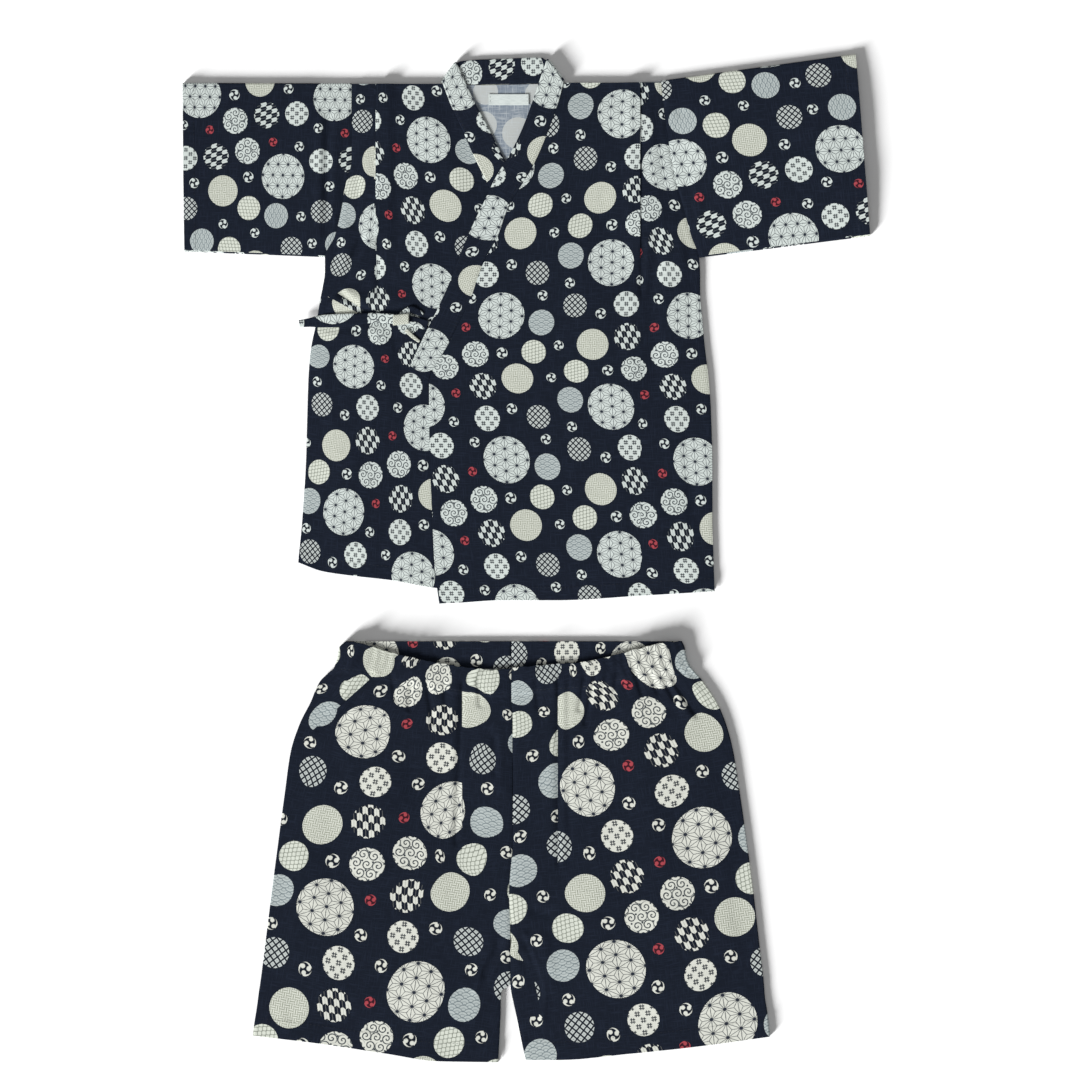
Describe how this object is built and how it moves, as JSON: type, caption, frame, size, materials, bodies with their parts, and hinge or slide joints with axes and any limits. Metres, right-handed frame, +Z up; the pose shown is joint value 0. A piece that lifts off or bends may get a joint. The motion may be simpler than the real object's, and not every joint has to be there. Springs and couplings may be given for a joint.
{
  "type": "jinbei set laid flat",
  "caption": "Child's jinbei set laid flat: a short-sleeved wrap jacket with its side ties knotted, above a pair of shorts with a gathered waist.",
  "frame": {"origin": "on the surface that the set lies on, under the middle of its outline", "axes": "+X across the set towards the wearer's left sleeve, +Y along it from the shorts' hems to the collar, +Z up from the surface"},
  "size_m": [0.619, 0.9079, 0.0102],
  "materials": {
    "jacket_cotton": "slub cotton, navy with printed cream roundels",
    "shorts_cotton": "slub cotton, navy with printed cream roundels, gathered at the waist",
    "label_weave": "plain woven label, blank"
  },
  "bodies": {
    "root": {"back": "jacket_cotton", "right_front": "jacket_cotton", "left_front": "jacket_cotton", "right_sleeve": "jacket_cotton", "left_sleeve": "jacket_cotton", "collar": "jacket_cotton", "side_tie": "jacket_cotton", "front_tie": "jacket_cotton", "tie_loop": "jacket_cotton", "tie_tail": "jacket_cotton", "tie_knot": "jacket_cotton", "neck_label": "label_weave", "right_leg": "shorts_cotton", "left_leg": "shorts_cotton"}
  },
  "joints": []
}
